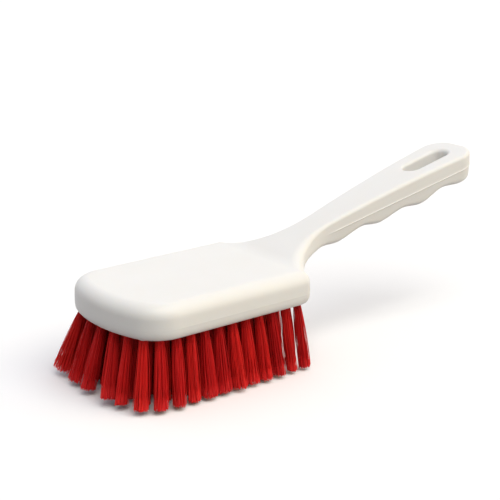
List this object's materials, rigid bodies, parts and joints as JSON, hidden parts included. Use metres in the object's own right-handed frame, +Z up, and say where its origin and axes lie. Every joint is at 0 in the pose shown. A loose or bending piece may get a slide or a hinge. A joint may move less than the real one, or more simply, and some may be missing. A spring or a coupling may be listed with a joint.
{
  "type": "scrub brush",
  "caption": "Hand scrub brush with a flat rounded head, splayed bristle tufts and a short rising grip with finger grooves and a hanging slot.",
  "frame": {"origin": "on the surface that the bristle tips stand on, at the middle of the bounding box in X and Y", "axes": "+X from the toe of the head to the end of the handle, +Y across the head, +Z up, away from the bristle tips"},
  "size_m": [0.2613, 0.0836, 0.093],
  "materials": {
    "block": "satin moulded polypropylene, off-white",
    "bristle": "straight polyester filament, red",
    "anchor": "drawn stainless flat wire"
  },
  "bodies": {
    "root": {"brush_block": "block", "tuft_row_01": "bristle", "tuft_row_02": "bristle", "tuft_row_03": "bristle", "tuft_row_04": "bristle", "tuft_row_05": "bristle", "tuft_row_06": "bristle", "tuft_row_07": "bristle", "tuft_row_08": "bristle", "tuft_row_09": "bristle", "tuft_row_10": "bristle", "tuft_row_11": "bristle", "tuft_row_12": "bristle", "anchor_row_01": "anchor", "anchor_row_02": "anchor", "anchor_row_03": "anchor", "anchor_row_04": "anchor", "anchor_row_05": "anchor", "anchor_row_06": "anchor", "anchor_row_07": "anchor", "anchor_row_08": "anchor", "anchor_row_09": "anchor", "anchor_row_10": "anchor", "anchor_row_11": "anchor", "anchor_row_12": "anchor"}
  },
  "joints": []
}
